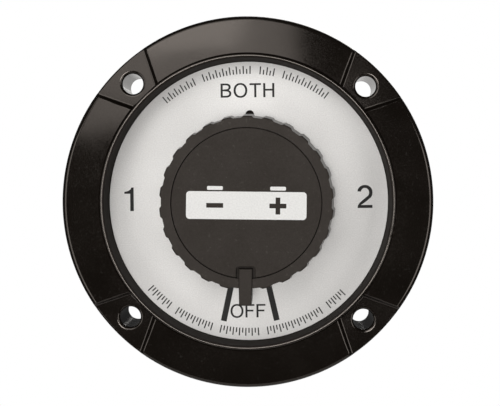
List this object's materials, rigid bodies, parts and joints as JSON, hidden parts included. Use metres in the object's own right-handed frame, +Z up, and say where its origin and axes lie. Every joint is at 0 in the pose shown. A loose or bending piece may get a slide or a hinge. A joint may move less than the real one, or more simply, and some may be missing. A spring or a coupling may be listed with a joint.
{
  "type": "battery selector switch",
  "caption": "Round panel-mounted battery selector switch: black flange, recessed silver dial, ridged turning knob with pointer, rear terminal studs.",
  "frame": {"origin": "centre of the flange's back face, in the mounting plane, on the knob's axis", "axes": "-Y out of the front face towards the user, +Y to the rear terminals, +Z up (the BOTH position), +X to the right as seen from the front (battery 2)"},
  "size_m": [0.1334, 0.0781, 0.1334],
  "materials": {
    "housing": "moulded black, semi-gloss",
    "label": "fine silver grain, satin",
    "knob": "moulded black, matte, speckled",
    "cap": "moulded black, matte, speckled",
    "cover": "moulded black, matte",
    "rotor": "natural insulating plastic",
    "brass": "turned, bright",
    "copper": "tinned copper alloy, rolled",
    "steel": "plated, satin",
    "spring": "drawn wire",
    "seal": "moulded rubber",
    "washer_plastic": "low-friction plastic"
  },
  "bodies": {
    "switch_body": {"housing": "housing", "barrel": "cover", "detent_ring": "washer_plastic", "shaft_bushing": "brass", "label_plate": "label", "rear_cover": "cover", "cover_gasket": "seal", "cover_screws": "steel", "contact_1": "copper", "contact_2": "copper", "contact_common": "copper", "stud_1": "brass", "stud_2": "brass", "stud_common": "brass", "cover_washers": "steel", "jam_nuts": "brass", "terminal_washers": "steel", "lock_washers": "steel", "terminal_nuts": "brass"},
    "selector": {"knob": "knob", "knob_cap": "cap", "shaft": "brass", "shaft_seal": "seal", "knob_washer": "steel", "knob_screw": "steel", "thrust_washer": "washer_plastic", "retaining_ring": "spring", "rotor": "rotor", "detent_spring_left": "spring", "detent_spring_right": "spring", "contact_springs": "spring"},
    "detent_ball_left": {"detent_ball_left": "steel"},
    "detent_ball_right": {"detent_ball_right": "steel"},
    "moving_contact": {"moving_contact": "copper"}
  },
  "joints": [
    {"name": "knob_turn", "type": "hinge", "parent": "switch_body", "child": "selector", "pos_m": [0, 0, 0], "axis": [0, -1, 0], "continuous": true},
    {"name": "detent_left_travel", "type": "slide", "parent": "selector", "child": "detent_ball_left", "axis": [-1, 0, 0], "range_m": [0, 0.001], "stiffness_N_per_m": 1500, "springref_m": 0.004, "deforming": ["detent_spring_left"]},
    {"name": "detent_right_travel", "type": "slide", "parent": "selector", "child": "detent_ball_right", "axis": [1, 0, 0], "range_m": [0, 0.001], "stiffness_N_per_m": 1500, "springref_m": 0.004, "deforming": ["detent_spring_right"]},
    {"name": "contact_float", "type": "slide", "parent": "selector", "child": "moving_contact", "axis": [0, -1, 0], "range_m": [0, 0.0008], "stiffness_N_per_m": 3000, "springref_m": -0.004, "deforming": ["contact_springs"]}
  ]
}
